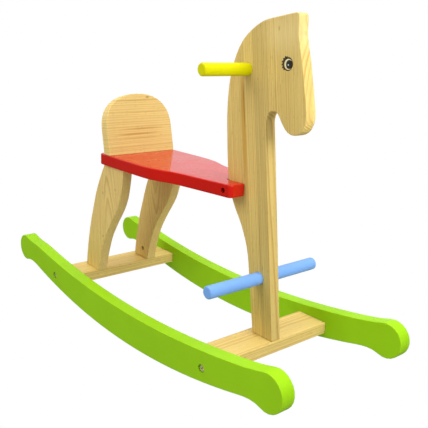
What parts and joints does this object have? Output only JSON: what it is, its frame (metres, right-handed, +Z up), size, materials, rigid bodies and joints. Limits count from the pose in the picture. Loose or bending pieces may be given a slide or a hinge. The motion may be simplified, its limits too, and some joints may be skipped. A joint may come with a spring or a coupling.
{
  "type": "child's rocking horse",
  "caption": "Wooden ride-on rocking horse: curved rockers joined by cross boards, plank legs, slotted seat with backrest, flat horse-head board with dowel handlebar and footrest.",
  "frame": {"origin": "on the floor under the middle of the rockers' whole length, in the plane midway between the rockers", "axes": "+X the way the horse faces, +Y the horse's left, +Z up"},
  "size_m": [0.73, 0.262, 0.5102],
  "materials": {
    "rocker_lime": "satin lime green paint on wood",
    "seat_red": "glossy red lacquer on wood",
    "pine": "clear satin varnish on edge-glued pine",
    "handle_yellow": "satin yellow paint on a wooden dowel",
    "footrest_blue": "satin light blue paint on a wooden dowel",
    "zinc": "yellow zinc plating, socket heads",
    "pins": "unfinished beech"
  },
  "bodies": {
    "root": {"backrest": "pine", "backrest_screw_left": "zinc", "backrest_screw_right": "zinc", "cross_board_front": "pine", "cross_board_rear": "pine", "footrest": "footrest_blue", "handlebar": "handle_yellow", "head_board": "pine", "leg_left_bolt": "zinc", "leg_left_foot_pin": "pins", "leg_left_nut": "zinc", "leg_right_bolt": "zinc", "leg_right_foot_pin": "pins", "leg_right_nut": "zinc", "leg_top_pin_left": "pins", "leg_top_pin_right": "pins", "leg_top_screw_left": "zinc", "leg_top_screw_right": "zinc", "neck_bolt": "zinc", "neck_foot_pin": "pins", "neck_nut": "zinc", "rear_leg_left": "pine", "rear_leg_right": "pine", "rocker_bolt_front_left": "zinc", "rocker_bolt_front_right": "zinc", "rocker_bolt_rear_left": "zinc", "rocker_bolt_rear_right": "zinc", "rocker_left": "rocker_lime", "rocker_nut_front_left": "zinc", "rocker_nut_front_right": "zinc", "rocker_nut_rear_left": "zinc", "rocker_nut_rear_right": "zinc", "rocker_pin_front_left": "pins", "rocker_pin_front_right": "pins", "rocker_pin_rear_left": "pins", "rocker_pin_rear_right": "pins", "rocker_right": "rocker_lime", "seat_board": "seat_red", "seat_bolt": "zinc", "seat_sleeve_nut": "zinc"}
  },
  "joints": []
}
